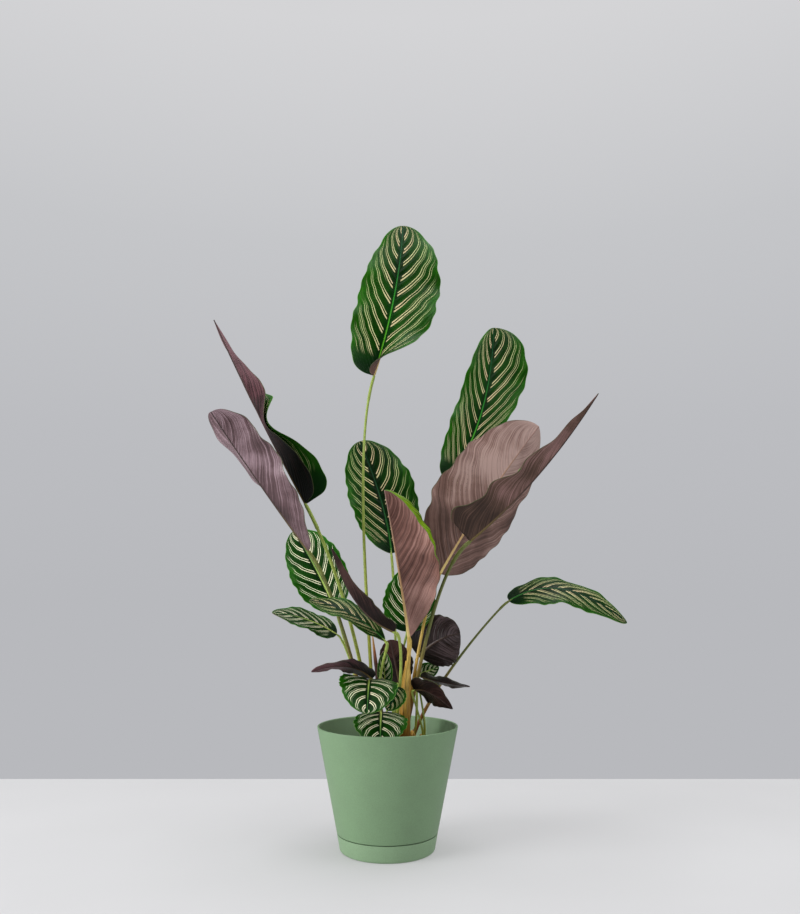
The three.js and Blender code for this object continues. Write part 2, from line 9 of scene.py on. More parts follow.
import bpy
import numpy as np
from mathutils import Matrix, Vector


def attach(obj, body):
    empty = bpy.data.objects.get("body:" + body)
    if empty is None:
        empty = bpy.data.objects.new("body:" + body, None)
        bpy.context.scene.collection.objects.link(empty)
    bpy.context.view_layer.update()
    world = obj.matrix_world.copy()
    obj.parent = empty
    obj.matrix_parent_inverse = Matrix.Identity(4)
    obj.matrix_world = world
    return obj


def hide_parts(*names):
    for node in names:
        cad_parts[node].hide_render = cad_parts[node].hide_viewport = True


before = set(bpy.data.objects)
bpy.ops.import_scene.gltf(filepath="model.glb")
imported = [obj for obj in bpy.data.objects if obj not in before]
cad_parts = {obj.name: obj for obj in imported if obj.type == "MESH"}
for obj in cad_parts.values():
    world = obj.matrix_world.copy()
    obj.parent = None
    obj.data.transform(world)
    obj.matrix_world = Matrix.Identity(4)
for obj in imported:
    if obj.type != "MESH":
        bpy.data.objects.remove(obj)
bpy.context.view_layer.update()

MM = 0.001
SEED = 17
CIRCLE = 2 * np.pi

# -------------------- driving dimensions

RIM_RADIUS, RIM_HEIGHT = 80, 132
SEAM_RADIUS, SEAM_HEIGHT = 56.2, 18.5
WALL, FLOOR, GAP = 2.6, 2.6, 0.3
# The seam is drawn this much wider to both sides, so that its dark line shows.
SEAM_SHADOW = 0.35
BASE_CORNER = 3.5
# How far down the rim is rounded, and how near its axis a turned profile ends.
RIM_ROUNDING, CENTRE = 0.8, 1
LATHE_SIDES, ROUNDING_STEPS = 256, 8

SOIL_EDGE, SOIL_CROWN = 110, 114
# How far a shoot starts below the soil's crown, and its collar and low neck are above it.
ROOT_DEPTH, COLLAR_RISE, NECK_RISE = (0, 0, 12), (0, 0, 2), (0, 0, 8)

# What is added to a blade's curve, at the base and at the tip.
BLADE_END, TIP_END = 0.9, 0.25
# The margin's nicks: their depth, how many there are along the blade, and how often the
# leaf's own lag shifts them. The lag grows from leaf to leaf, and again on a right half.
NICKS = ((0.02, 4.3, 1), (0.018, 9.1, 2))
LAG_STEP, SIDE_LAG = 0.37, 1.7
CUP_REACH = 0.15
PINCH_PLACE, PINCH_REACH = 0.38, 0.17
LEFT_WAVE_LAG = 2
# The fine ruffle of the very edge: its height as a share of the waves', and its waves.
RUFFLE_SHARE, RUFFLES = 0.25, 6.3
VEIN_LEAN = 0.2
# A leaf has a few groups of side veins, and one more for every 36 mm of its length. The
# groups are numbered through, with room for each leaf's, and half of it for each half.
GROUPS_LEAST, GROUP_GROWTH, GROUP_ROOM = 4, 36, 50
# Half a blade's thickness at the margin and what the midrib adds to it, the rib's height
# and width at the base and at the tip, and the pleats' height.
HALF_THICK, THICK_GAIN = 0.16, 0.24
RIB_HEIGHTS, RIB_WIDTHS = (1.5, 0.3), (1.3, 0.6)
PLEAT, GROOVE_SHARE = 0.35, 0.3
ARC_STEPS = 12
END_CROWDING, SIDE_CROWDING = 0.11, 0.12
# A leaf gets the fine grid if a half is wider than the one, and its full rib from the other.
BIG_HALF, FULL_HALF = 35, 50
BIG_GRID, SMALL_GRID = (170, 36), (90, 22)
CURLED_STRIPS = 60

SPEAR_ROOT = np.array((-6, 17, SOIL_CROWN), float)
SPEAR_BEND, SPEAR_TIP = np.array(((-10, 13, 170), (-18.5, 8, 234)), float)
SPEAR_RADIUS, SPEAR_WINDINGS = 2.6, 1.3
SPEAR_WIDTHS = (1, 1.15, 1.2, 1.15, 1.05, 0.85, 0.55, 0.2)
SPEAR_RINGS, SPEAR_SIDES = 80, 36

# A leaf that starts above TALL_LEAF has a tall stalk. A stalk's second handle leads back by
# a share of its upper reach, and its knee is swollen for some length. With them, its rings.
TALL_LEAF = 290
TALL_STALK, LOW_STALK = (0.45, 28, 90), (0.15, 9, 40)
KNEE_LENGTH, KNEE_GAP, RUN_OUT = 3, 0.6, 9
STALK_SIDES, SHEATH_SIDES, SHEATH_RINGS = 20, 48, 30

# -------------------- the leaves

# Each leaf, as the frame has it: its shoot, its midrib's start, half-way point and tip, a
# point that its stalk passes, the stalk's radius at the top and the foot, the way the upper
# face looks, the width of its left and right half, where each is widest, and how bluntly
# it runs out. Then what isn't usual: the finishes of its two faces, its stalk's tone, the
# angles that its halves are folded, rolled, cupped, pinched, curled and twisted by, and its
# margin's waves. A single number holds for both halves.
KEYS = ("name", "shoot", "base", "mid", "tip", "via", "stalk", "face", "width", "peak", "fall")
USUAL = dict(
    upper="grown", under="plum", stem="lime", fold=8, roll=-10, wave=1.5, waves=2,
    twist=0, cup=0, pinch=0, curl=0, lean=VEIN_LEAN,
)
LEAVES = [USUAL | dict(zip(KEYS, row)) | unusual for *row, unusual in (
    ("top", "left", (-18, 8, 545), (7, 16, 654), (18, 42, 760),
     (-28, 10, 319), (1.5, 2.7), (-0.05, -1, 0.15), (46, 56), (0.4, 0.5), 0.5,
     dict(upper="fresh", under="dusty", fold=(6, 4), roll=(-14, -20), wave=3, waves=3,
          cup=(0, 130))),
    ("upper_right", "centre", (77, 76, 422), (125, 106, 524), (147, 138, 652),
     (33, 34, 275), (1.6, 2.4), (-0.1, -1, 0.25), (36, 50), (0.45, 0.75), 0.5,
     dict(upper="fresh", fold=(8, 10), roll=(-15, -20), wave=3, waves=2.5, cup=(10, 30))),
    ("right_broad", "centre", (61, -12, 303), (116, 12, 389), (191, 50, 490),
     (42, -12, 248), (1.5, 2.6), (-0.3, 0.9, 0.3), (62, 60), (0.55, 0.5), 0.5,
     dict(under="dusty", stem="gold", fold=(16, 10), roll=(6, 10), wave=3, waves=3)),
    ("right_long", "centre", (92.5, -58, 337), (166, -83, 408), (230, -104, 494),
     (53, -28, 262), (1.8, 2.6), (-0.75, 0.25, 0.62), (35, 38), 0.05, 1.05,
     dict(under="umber", stem="olive", fold=(60, 50), roll=0, wave=4, waves=4)),
    ("front", "centre", (24, -36, 231), (11, -56, 314), (-3, -72, 392),
     (23, -30, 197), (2.2, 3.2), (0.1, 1, 0.1), (57, 50), (0.6, 0.5), 0.62,
     dict(upper="rolled", under="rosy", stem="gold", fold=(8, 86), roll=0, wave=1, curl=(-225, 0),
          lean=0.3)),
    ("centre_back", "back", (3, 70, 330), (-11, 94, 401), (-41, 124, 485),
     (7, 50, 272), (1.4, 2.2), (0.05, -1, 0.25), (40, 48), 0.55, 0.5,
     dict(roll=-15, wave=2.5, cup=10)),
    ("upper_left", "left", (-98, -10, 384), (-163, 4, 503), (-225, 32, 626),
     (-53, 0, 276), (1.8, 2.8), (0.75, -0.55, 0.38), (32, 36), (0.15, 0.13), 1,
     dict(upper="fresh", under="wine", fold=(130, 0), roll=0, wave=3, waves=3, twist=115,
          pinch=(-75, 120))),
    ("mid_left", "left", (-92, -24, 328), (-146, -50, 403), (-196, -84, 478),
     (-60, -10, 262), (1.8, 2.8), (0.5, 0.6, 0.5), (38, 34), (0.55, 0.65), 0.45,
     dict(under="mauve", stem="olive", fold=(20, 35), roll=0, wave=2.5, waves=3.3, twist=45)),
    ("low_left_broad", "left", (-62, 18, 258), (-87, 32, 307), (-119, 54, 357),
     (-51, 16, 223), (1.2, 1.8), (-0.1, -1, 0.3), (32, 34), 0.5, 0.55,
     dict(upper="bold", fold=10, roll=(-15, -10), wave=2, cup=10)),
    ("low_left_flat", "front_left", (-3, -44, 228), (-42, -42, 257), (-88, -35, 272),
     (-7, -30, 194), (1.4, 2), (0.1, -0.38, 0.9), 22, 0.55, 0.6, dict(fold=10, wave=2)),
    ("small_left", "left", (-60, 0, 233), (-94, -10, 250), (-131, -26, 258),
     (-44, 4, 203), (1, 1.6), (0.15, -0.5, 0.8), 20, 0.4, 0.65, dict(upper="bold", roll=-15)),
    ("dark_left", "front_mid", (7, -62, 238), (-32, -80, 269), (-59, -98, 327),
     (15, -40, 207), (1.5, 2.2), (0.5, 0.5, 0.6), (16, 15), (0.3, 0.35), 0.8,
     dict(under="dusk", fold=(25, 50), roll=0)),
    ("small_back", "back", (22, 4, 236), (25, 5, 272), (30, 9, 313),
     (16, 14, 205), (1.2, 1.8), (0, -1, 0.3), 30, 0.45, 0.6, dict(upper="bold", roll=-12)),
    ("round_right", "right_back", (36, 10, 208), (59, 2, 226), (83, -10, 234),
     (33, 8, 175), (1, 1.6), (-0.3, 0.95, -0.1), (34, 30), 0.4, 0.55, dict(under="slate", roll=10)),
    ("thin_right", "right", (38, -8, 186), (61, -16, 181), (92, -26, 177),
     (39, -9, 155), (1, 1.6), (0.1, 0.45, 0.9), (16, 15), 0.35, 0.8, dict(under="dusk")),
    ("low_right", "right", (31, -16, 172), (48, -25, 170), (72, -34, 154),
     (35, -13, 145), (1, 1.6), (0.1, 0.65, 0.7), (23, 21), 0.35, 0.9,
     dict(upper="bold", under="dusk")),
    ("dark_low_left", "low_left", (-18, -26, 186), (-46, -38, 200), (-83, -48, 195),
     (-17, -19, 160), (1, 1.6), (0.1, 0.4, 0.9), 20, 0.4, 0.7, dict(under="wine")),
    ("front_round", "low_left", (-20, -36, 185), (-20, -64, 178), (-20, -92, 157),
     (-17, -26, 160), (1, 1.6), (0, -0.6, 0.8), (31, 32), (0.42, 0.38), 0.45,
     dict(upper="bold", fold=(14, 26), roll=-24)),
    ("front_low", "low_front", (-7, -30, 150), (-7, -48, 142), (-7, -62, 122),
     (-6, -24, 137), (1, 1.6), (0, -0.6, 0.8), 29, 0.45, 0.5,
     dict(upper="bold", fold=10, roll=-24, wave=1)),
    ("shade", "low_front", (11, -37, 178), (8, -42, 168), (0, -45, 154),
     (6, -26, 150), (1, 1.4), (0.2, -0.8, 0.4), 12, 0.45, 0.6, dict(fold=10, wave=1)),
    ("dark_centre", "mid", (14, 4, 177), (8, 1, 203), (3, -5, 227),
     (9, 6, 150), (1, 1.6), (0.2, 0.9, 0.3), (20, 19), 0.45, 0.6,
     dict(under="dusk", roll=0, wave=1)),
    ("narrow", "mid", (-3, -8, 179), (-4, -12, 197), (-4, -14, 215),
     (-1, -2, 150), (1, 1.4), (0.1, -1, 0.2), 11, 0.4, 0.7,
     dict(upper="bold", fold=40, roll=0, wave=0.5)),
    ("arching", "arching", (142, 2, 271), (206, -2, 284), (275, -10, 246),
     (88, 16, 211), (1.2, 2.8), (0, -0.5, 0.87), (24, 30), (0.4, 0.45), 0.6,
     dict(stem="olive", roll=(-15, -25), wave=2, waves=2.5)),
    ("pale", "right_back", (37, 20, 186), (48, 22, 190), (60, 23, 194),
     (34, 16, 168), (1, 1.4), (0, -0.9, 0.5), 10, 0.4, 0.7, dict(upper="bold", wave=1)),
)]

for number, leaf in enumerate(LEAVES):
    for key in ("base", "mid", "tip", "via", "face"):
        leaf[key] = np.array(leaf[key], float)
    for key in ("width", "peak", "fold", "roll", "cup", "pinch", "curl"):
        leaf[key] = np.broadcast_to(np.array(leaf[key], float), 2)
    leaf["length"] = np.linalg.norm(leaf["tip"] - leaf["base"])
    leaf["groups"] = GROUPS_LEAST + leaf["length"] / GROUP_GROWTH
    leaf["first_group"] = 100 + GROUP_ROOM * number
    leaf["lag"] = LAG_STEP * number
    leaf["climb"] = TALL_STALK if leaf["base"][2] > TALL_LEAF else LOW_STALK

# Each shoot: its root, its sheath's radius at the foot and at the neck, and where the neck
# is, unless it is close above the root.
SHOOTS = {
    "left": ((-16, 6), (8, 5), (-20, 5, 150)),
    "centre": ((18, -4), (6.5, 6), (22, -11, 190)),
    "back": ((10, 22), (4, 3)),
    "front_left": ((-4, -14), (3, 2.2)),
    "front_mid": ((7, -14), (3, 2.4)),
    "right": ((38, -8), (4, 2.5)),
    "right_back": ((30, 8), (3.5, 2.5)),
    "low_left": ((-18, -10), (4, 2.5)),
    "low_front": ((-8, -24), (3, 2.4)),
    "mid": ((2, 6), (4, 2.5)),
    "arching": ((28, 20), (3.2, 2.4)),
}

STEM_TONES = {"olive": 0, "lime": 0.5, "gold": 1}

# -------------------- small tools

def mix(a, b, t):
    """a at t = 0, b at t = 1, straight between."""
    return a + (b - a) * t


def arc(a, b, c, t):
    """The parabola from a to c whose end tangents meet at b."""
    return mix(mix(a, b, t), mix(b, c, t), t)


def smooth(low, high, x):
    """0 below low, 1 above high, and between them 3t^2 - 2t^3."""
    t = np.clip((x - low) / (high - low), 0, 1)
    return t * t * (3 - 2 * t)


def hump(x, width):
    """A bell of height 1 at x = 0: exp(-(x / width)^2)."""
    return np.exp(-((x / width) ** 2))


def unit(v):
    """The vectors of the last axis, each at length 1."""
    return v / np.linalg.norm(v, axis=-1, keepdims=True)


def together(*parts):
    """The parts, spread to one shape, side by side along a new last axis."""
    return np.stack(np.broadcast_arrays(*parts), -1)


def angles(sides):
    """`sides` even angles round a circle."""
    return np.linspace(0, CIRCLE, sides, endpoint=False)


def crowded(steps, crowding):
    """Shares from 0 to 1, closer together at both ends: t - crowding * sin(2 pi t)."""
    t = np.linspace(0, 1, steps + 1)
    return t - crowding * np.sin(CIRCLE * t)


def quads(ids):
    """The four corners of every cell of a grid of vertex numbers, columns first, so that
    across x along points out of the surface."""
    cells = np.stack([ids[:-1, :-1], ids[:-1, 1:], ids[1:, 1:], ids[1:, :-1]], -1)
    return cells.reshape(-1, 4)


def ring_faces(rings, sides, first=0):
    """The quads between `rings` closed rings of `sides` points, and a fan over each end."""
    ids = first + np.arange(rings * sides).reshape(rings, sides)
    faces = quads(np.hstack([ids, ids[:, :1]])).tolist()
    return faces + [ids[0, ::-1].tolist(), ids[-1].tolist()]


def put(name, data):
    """A new object in the scene, at the origin."""
    made = bpy.data.objects.new(name, data)
    bpy.context.scene.collection.objects.link(made)
    return made


def make_piece(name, points, faces, materials, slot, nodes, kinds=0, **fields):
    """A mesh of points in millimetres with per-vertex fields that its materials read. It
    stands for the frame's nodes and rides with them."""
    mesh = bpy.data.meshes.new(name)
    mesh.from_pydata((points.reshape(-1, 3) * MM).tolist(), [], faces)
    for material in materials:
        mesh.materials.append(material)
    kinds = np.broadcast_to(kinds, len(faces)).astype(np.int32)
    mesh.polygons.foreach_set("material_index", kinds)
    for key, values in fields.items():
        layer = mesh.attributes.new(key, "FLOAT_VECTOR", "POINT")
        layer.data.foreach_set("vector", values.astype(np.float32).ravel())
    mesh.shade_smooth()
    mesh.update()
    piece = put(name, mesh)
    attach(piece, "root")
    if nodes:
        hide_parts(*nodes)


# -------------------- blades

def midrib(leaf, u):
    """The parabola through base, half-way point and tip, and its unit tangent."""
    base, tip = leaf["base"], leaf["tip"]
    pull = 2 * leaf["mid"] - (base + tip) / 2
    u = np.asarray(u, float)[:, None]
    return arc(base, pull, tip, u), unit(mix(pull - base, tip - pull, u))


def blade_frame(leaf, u):
    """Midrib points with three unit vectors: along it, up from the upper face, and right.
    Up is the way the leaf faces less its share along the midrib, and it turns about the
    midrib by twist * (u - 0.5)."""
    line, along = midrib(leaf, u)
    up = unit(leaf["face"] - along * (along @ leaf["face"])[:, None])
    turn = np.radians(leaf["twist"] * (np.asarray(u) - 0.5))[:, None]
    up = up * np.cos(turn) + np.cross(along, up) * np.sin(turn)
    return line, along, up, np.cross(along, up)


def half_widths(leaf, u):
    """For the left and the right half, u^rise * (1 - u)^fall, scaled to the half's width
    at its peak, with small nicks."""
    u = u[:, None]
    peak, fall = leaf["peak"], leaf["fall"]
    rise = fall * peak / (1 - peak)
    shape = u**rise * (1 - u) ** fall / (peak**rise * (1 - peak) ** fall)
    lag = leaf["lag"] + SIDE_LAG * np.arange(2)
    nicks = 1
    for depth, count, shift in NICKS:
        nicks = nicks + depth * np.sin(CIRCLE * (count * u + shift * lag))
    return mix(BLADE_END, TIP_END, u) + leaf["width"] * shape * nicks


def section_arc(fold, roll, curl, reach):
    """How far a half's section has gone out and up, as shares of its width, where its
    angle at s is fold + roll * s + curl * s^3, summed over even steps."""
    s = reach[..., None] * (np.arange(ARC_STEPS) + 0.5) / ARC_STEPS
    angle = np.radians(fold[..., None] + roll[..., None] * s + curl[..., None] * s**3)
    return np.cos(angle).mean(-1) * reach, np.sin(angle).mean(-1) * reach


def blade_middle(leaf, u, v):
    """The leaf's middle surface at share u along and v across (-1 left margin, 1 right):
    midrib + right * sign(v) * half * out + up * (half * rise + margin waves). Gives the
    points, and at each the distance from the midrib and from the margin."""
    line, _, up, right = blade_frame(leaf, u)
    u_grid, v_grid = np.meshgrid(u, v, indexing="ij")
    side, reach = (v_grid > 0).astype(int), np.abs(v_grid)
    half = np.take_along_axis(half_widths(leaf, u), side, 1)
    width, fold, cup, pinch, roll, curl = (
        leaf[key][side] for key in ("width", "fold", "cup", "pinch", "roll", "curl")
    )
    fold = fold + cup * np.exp(-u_grid / CUP_REACH)
    fold = fold + pinch * hump(u_grid - PINCH_PLACE, PINCH_REACH)
    out, rise = section_arc(fold, roll, curl * u_grid, reach)
    lag = np.where(side, 0, LEFT_WAVE_LAG)
    height = leaf["wave"] * half / width
    wave = height * reach**2 * np.sin(CIRCLE * leaf["waves"] * u_grid + lag)
    ruffle = np.sin(CIRCLE * (RUFFLES * u_grid + leaf["lag"]) + lag)
    wave = wave + RUFFLE_SHARE * height * reach**4 * ruffle
    points = line[:, None] + right[:, None] * (np.sign(v_grid) * half * out)[..., None]
    points = points + up[:, None] * (half * rise + wave)[..., None]
    return points, half * reach, half * (1 - reach)


def vein_number(leaf, u, v):
    """Counts the groups of side veins: n * (u - lean * (|v| + |v|^2)), because a vein
    leaves the midrib forwards and bends on towards the tip. Each half of each leaf has
    numbers of its own, and the halves' veins alternate."""
    reach = np.abs(v)[None, :]
    number = leaf["groups"] * (u[:, None] - leaf["lean"] * (reach + reach**2))
    return number + leaf["first_group"] + np.where(v > 0, GROUP_ROOM / 2 + 0.5, 0)[None, :]


def blade(leaf, upper, under):
    """Two sheets a leaf's thickness apart, closed by a rim. The upper face has a groove
    over the midrib, the lower one a rib under it, and both follow low pleats between the
    side veins."""
    widest = leaf["width"].max()
    rows, strips = BIG_GRID if widest > BIG_HALF else SMALL_GRID
    if np.any(leaf["curl"]):
        strips = CURLED_STRIPS
    u = crowded(rows, END_CROWDING)
    w = crowded(strips, SIDE_CROWDING)
    v = np.concatenate([-w[:0:-1], w])
    middle, from_rib, from_margin = blade_middle(leaf, u, v)
    normal = unit(np.cross(np.gradient(middle, axis=1), np.gradient(middle, axis=0)))
    size = min(1, widest / FULL_HALF)
    number = vein_number(leaf, u, v)
    flat = smooth(0, 6, from_rib) * smooth(0, 8, from_margin)
    pleat = PLEAT * size * flat * np.cos(2 * CIRCLE * number)
    half_thick = HALF_THICK + THICK_GAIN * hump(from_rib, 10)
    rib_height = mix(*RIB_HEIGHTS, u**0.6)[:, None] * mix(0.35, 1, size)
    rib_width = mix(*RIB_WIDTHS, u)[:, None] * mix(0.5, 1, size)
    rib = rib_height * hump(from_rib, rib_width)
    top = middle + normal * (pleat + half_thick - GROOVE_SHARE * rib)[..., None]
    low = middle + normal * (pleat - half_thick - rib)[..., None]
    ids = np.arange(number.size).reshape(number.shape)
    below = ids + number.size
    upper_faces = quads(ids)
    faces = np.concatenate([
        upper_faces,
        quads(below[:, ::-1]),
        quads(np.stack([below[:, 0], ids[:, 0]], 1)),
        quads(np.stack([ids[:, -1], below[:, -1]], 1)),
        quads(np.stack([below[0], ids[0]])),
        quads(np.stack([ids[-1], below[-1]])),
    ])
    kinds = np.arange(len(faces)) >= len(upper_faces)
    vein = together(number, np.abs(v), np.sign(v))
    place = together(u[:, None], from_rib, from_margin)
    name = leaf["name"]
    make_piece(
        f"leaf_{name}", np.stack([top, low]), faces.tolist(), [upper, under], "leaf",
        [f"blade_{name}"], kinds, vein=np.stack([vein] * 2), place=np.stack([place] * 2),
    )


# -------------------- tubes

def tube(path, section):
    """A closed tube: at each path point a ring of points centre + across * x + other * y,
    where `section` has each ring's radii. Across is level with the plane that the path
    bends in, so the ring never spins."""
    ahead = unit(np.gradient(path, axis=0))
    rise, reach = path[len(path) // 2] - path[0], path[-1] - path[0]
    plane = np.cross(rise, reach) + np.cross((1, 0, 0), reach)
    other = unit(plane - ahead * (ahead @ plane)[:, None])
    across = np.cross(other, ahead)
    turn = angles(section.shape[1])[:, None]
    ring = across[:, None] * np.cos(turn) + other[:, None] * np.sin(turn)
    return path[:, None] + ring * section[..., None]


def stalk_path(leaf, root):
    """The frame's cubic from the root through `via`, whose second handle lies back along
    the midrib, then on along the underside of the midrib, where the stalk runs out."""
    _, along = midrib(leaf, [0])
    via = leaf["via"]
    lead, _, rings = leaf["climb"]
    end = leaf["base"] - along[0] * KNEE_GAP
    bend = end - along[0] * KNEE_LENGTH
    second = bend - along[0] * np.linalg.norm(bend - via) * lead
    first = (8 * via - root - bend - 3 * second) / 3
    t = np.linspace(0, 1, rings)[:, None]
    curve = root * (1 - t) ** 3 + 3 * first * t * (1 - t) ** 2
    curve = curve + 3 * second * t**2 * (1 - t) + bend * t**3
    run = np.linspace(0, 1, 7) ** 1.3
    line, _, up, _ = blade_frame(leaf, run * RUN_OUT / leaf["length"])
    sink = 0.3 * leaf["stalk"][0] * smooth(0, 0.5, run)[:, None]
    return np.concatenate([curve, line - up * sink])


def stalk(leaf, root):
    """A stalk: thick at the foot, where it is still a folded sheath with a groove down one
    side, slimmer upwards, and swollen again in the knee under the leaf."""
    path = stalk_path(leaf, root)
    top, foot = leaf["stalk"]
    _, knee, rings = leaf["climb"]
    passed = np.concatenate([[0], np.cumsum(np.linalg.norm(np.diff(path, axis=0), axis=1))])
    run = passed[rings - 1]
    share = np.clip(passed / run, 0, 1)
    radius = mix(foot, top, 1 - (1 - share) ** 2)
    before_leaf = run - passed
    radius = radius * (1 + 0.22 * smooth(knee + 3, knee - 1, before_leaf))
    radius = radius + 0.14 * top * hump(before_leaf - knee, 1.6)
    radius = radius * mix(1, 0.3, smooth(0, -RUN_OUT, before_leaf))
    groove = 0.3 * smooth(0.55, 0.1, share)[:, None] * hump(np.cos(angles(STALK_SIDES) / 2), 0.35)
    tone = together(share, smooth(knee + 2, knee - 2, before_leaf), STEM_TONES[leaf["stem"]])
    return tube(path, radius[:, None] * (1 - groove)), tone[:, None]


def sheath(root, radii, neck=None):
    """The foot of a shoot: bases of leaves wrapped round each other. The radius runs from
    foot to neck and swells in two low folds that wind round it as they climb."""
    neck = root + NECK_RISE if neck is None else np.array(neck, float)
    t = np.linspace(0, 1, SHEATH_RINGS)[:, None]
    path = arc(root - ROOT_DEPTH, root + COLLAR_RISE, neck + (neck - root) * 0.18, t)
    turn = angles(SHEATH_SIDES)[None, :]
    radius = mix(*radii, smooth(0.2, 0.85, t))
    folds = 1 + 0.07 * np.cos(2 * turn + 4 * t) + 0.03 * np.cos(5 * turn - 3 * t)
    radius = radius * folds * mix(1, 0.45, smooth(0.85, 1, t))
    return tube(path, radius), together(0.35 * t, 0, STEM_TONES["gold"])


def shoot_piece(name, shoot, material):
    """One mesh for a shoot: its sheath and every stalk that comes out of it."""
    (x, y), *rest = shoot
    root = np.array([x, y, SOIL_CROWN], float)
    parts = [sheath(root, *rest)]
    parts += [stalk(leaf, root) for leaf in LEAVES if leaf["shoot"] == name]
    faces, points, tones = [], np.empty((0, 3)), np.empty((0, 3))
    for grid, tone in parts:
        faces += ring_faces(*grid.shape[:2], len(points))
        points = np.concatenate([points, grid.reshape(-1, 3)])
        tones = np.concatenate([tones, np.broadcast_to(tone, grid.shape).reshape(-1, 3)])
    make_piece(
        f"shoot_{name}", points, faces, [material], "stalk", [f"stalks_{name}"], tone=tones,
    )


def spear(material):
    """The rolled leaf: a slim spindle whose radius grows by a fifth round each turn, so
    that its free edge stands as a step that winds up it."""
    t = np.linspace(0, 1, SPEAR_RINGS)[:, None]
    above = arc(SPEAR_ROOT + COLLAR_RISE, SPEAR_BEND, SPEAR_TIP, t)
    path = np.concatenate([[SPEAR_ROOT - ROOT_DEPTH], above])
    share = np.concatenate([[[0]], t])
    radius = SPEAR_RADIUS * np.interp(share, np.linspace(0, 1, len(SPEAR_WIDTHS)), SPEAR_WIDTHS)
    wrap = np.mod(angles(SPEAR_SIDES) / CIRCLE - SPEAR_WINDINGS * share, 1)
    points = tube(path, radius * (0.9 + 0.2 * wrap))
    make_piece(
        "rolled_leaf", points, ring_faces(len(path), SPEAR_SIDES), [material], "rolled_leaf",
        ["leaf_spear"], tone=together(share, wrap, 0),
    )


# -------------------- pot, saucer and soil

SLOPE = (RIM_RADIUS - SEAM_RADIUS) / (RIM_HEIGHT - SEAM_HEIGHT)
SEAM, FOOT = SEAM_HEIGHT + GAP, FLOOR + GAP
SHELF = SEAM + WALL


def outer_at(z):
    """The outside of pot and saucer: one straight taper through the seam and the rim."""
    return SEAM_RADIUS + SLOPE * (z - SEAM_HEIGHT)


def step_radius(z):
    """The outside of the pot where it goes down inside the saucer's wall."""
    return outer_at(z) - WALL - GAP


FOOT_RADIUS = step_radius(FLOOR) - BASE_CORNER


def rounded(profile):
    """A line of (radius, height, fillet) corners. Each corner gives way to the parabola
    that touches both its sides `fillet` away from it."""
    corners = np.array([p[:2] for p in profile], float)
    fillets = [p[2] for p in profile[1:]]
    t = np.linspace(0, 1, ROUNDING_STEPS)[:, None]
    line = [corners[:1]]
    for before, corner, after, fillet in zip(corners, corners[1:], corners[2:], fillets):
        start = corner + unit(before - corner) * fillet
        end = corner + unit(after - corner) * fillet
        line.append(arc(start, corner, end, t) if fillet else corner[None])
    return np.concatenate(line + [corners[-1:]])


def lathe(profile):
    """The profile turned round Z: (r cos a, r sin a, z). Its ends are near the axis and
    are closed by a fan."""
    turn = angles(LATHE_SIDES)
    radius, height = profile[:, :1], profile[:, 1:]
    points = together(radius * np.cos(turn), radius * np.sin(turn), height)
    return points, ring_faces(len(profile), LATHE_SIDES)


def saucer(material):
    """A shallow cup whose wall is the lowest stretch of the pot's taper."""
    corner, lip = outer_at(BASE_CORNER), SEAM_HEIGHT - SEAM_SHADOW
    profile = rounded([
        (CENTRE, 0, 0),
        (corner - 0.4, 0, 3),
        (outer_at(lip), lip, 0.4),
        (outer_at(lip) - WALL, lip, 0.5),
        (outer_at(FLOOR + 1) - WALL - 1, FLOOR, 3),
        (CENTRE, FLOOR, 0),
    ])
    make_piece("saucer_shell", *lathe(profile), [material], "saucer", ["saucer"])


def inner_at(z):
    """The inside of the pot: a straight taper above the seam and a steeper one below."""
    at_shelf = step_radius(SEAM_HEIGHT) - WALL
    if z > SHELF:
        to_rim = (z - SHELF) / (RIM_HEIGHT - RIM_ROUNDING - SHELF)
        return mix(at_shelf, RIM_RADIUS - WALL, to_rim)
    return mix(FOOT_RADIUS - WALL, at_shelf, (z - FOOT - FLOOR) / (SHELF - FOOT - FLOOR))


def pot(material):
    """A tapered cup that steps in at the seam and goes down inside the saucer."""
    shelf = SEAM + SEAM_SHADOW
    profile = rounded([
        (CENTRE, FOOT, 0),
        (FOOT_RADIUS, FOOT, 1.5),
        (step_radius(SEAM_HEIGHT), shelf, 0.3),
        (outer_at(shelf), shelf, 0.4),
        (RIM_RADIUS, RIM_HEIGHT, 1.2),
        (RIM_RADIUS - WALL, RIM_HEIGHT, 1.2),
        (inner_at(SHELF), SHELF, 2),
        (inner_at(FOOT + FLOOR), FOOT + FLOOR, 2),
        (CENTRE, FOOT + FLOOR, 0),
    ])
    make_piece("pot_shell", *lathe(profile), [material], "pot", ["pot"])


def lumps(x, y, draw):
    """Loose peat: six sets of crossed waves of shorter and shorter length, each turned and
    shifted by a seeded draw, the sharp side up."""
    height = np.zeros_like(x)
    for length in (31, 19, 12, 8, 5.5, 3.9):
        a, p, q = draw.uniform(0, CIRCLE, 3)
        along, across = x * np.cos(a) + y * np.sin(a), y * np.cos(a) - x * np.sin(a)
        bend = 0.4 * length * np.sin(CIRCLE * across / (1.7 * length) + q)
        wave = np.sin(CIRCLE * (along + bend) / length + p) * np.sin(CIRCLE * across / length + q)
        height += length * 0.035 * (np.abs(wave) ** 0.7 * 2 - 1)
    return height


def soil_height(x, y):
    """The low mound: from the crown in the middle to the edge at the wall."""
    share = np.hypot(x, y) / (inner_at(SOIL_EDGE) - GAP)
    return mix(SOIL_CROWN, SOIL_EDGE, smooth(0.2, 1.05, share))


